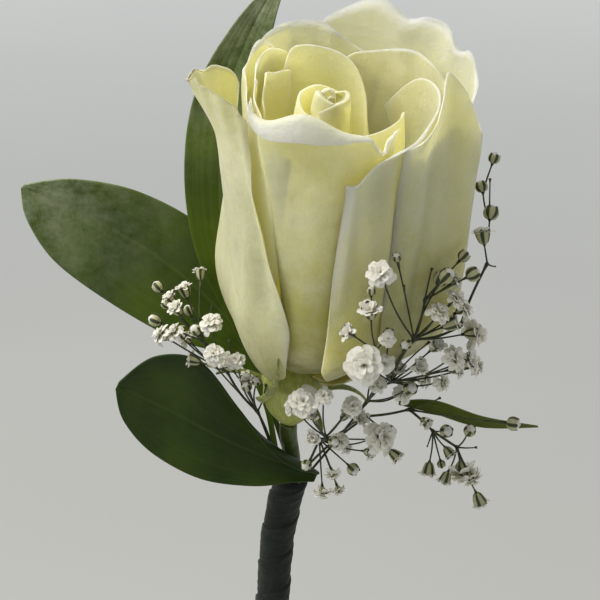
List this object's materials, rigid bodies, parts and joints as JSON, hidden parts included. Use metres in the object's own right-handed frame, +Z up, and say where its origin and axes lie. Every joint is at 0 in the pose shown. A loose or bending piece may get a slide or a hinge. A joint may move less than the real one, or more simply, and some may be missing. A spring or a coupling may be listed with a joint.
{
  "type": "flower lapel pin",
  "caption": "White rose lapel flower with broad leaves and sprays of baby's breath, its stems bound in dark tape, held on by a straight pin through the back of the stem.",
  "frame": {"origin": "where the straight pin passes into the back of the taped stem, in the plane of the cloth", "axes": "+Z up along the stem towards the rose, -Y towards the front, +X to the right as seen from the front"},
  "size_m": [0.0878, 0.0582, 0.1325],
  "materials": {
    "petal": "soft satin petal",
    "hip": "smooth green plant skin",
    "stem": "smooth green plant skin",
    "leaf": "waxy leaf with fine veins",
    "blossom": "papery small petals",
    "tape": "crepe paper tape, matte",
    "steel": "polished wire"
  },
  "bodies": {
    "root": {"rose_heart": "petal", "petal_left_fold": "petal", "petal_left_fold_outer": "petal", "petal_right_inner": "petal", "petal_front_inner": "petal", "petal_front": "petal", "petal_front_right": "petal", "petal_left_inner": "petal", "petal_back": "petal", "petal_back_right": "petal", "petal_right_side": "petal", "petal_right_outer": "petal", "petal_left_outer": "petal", "petal_back_outer": "petal", "calyx": "hip", "rose_stem": "stem", "leaf_top": "leaf", "leaf_left": "leaf", "leaf_front": "leaf", "narrow_leaf": "leaf", "spray_left": "blossom", "spray_low": "blossom", "spray_right": "blossom", "spray_lower_right": "blossom", "tape_wrap": "tape", "corsage_pin": "steel"}
  },
  "joints": []
}
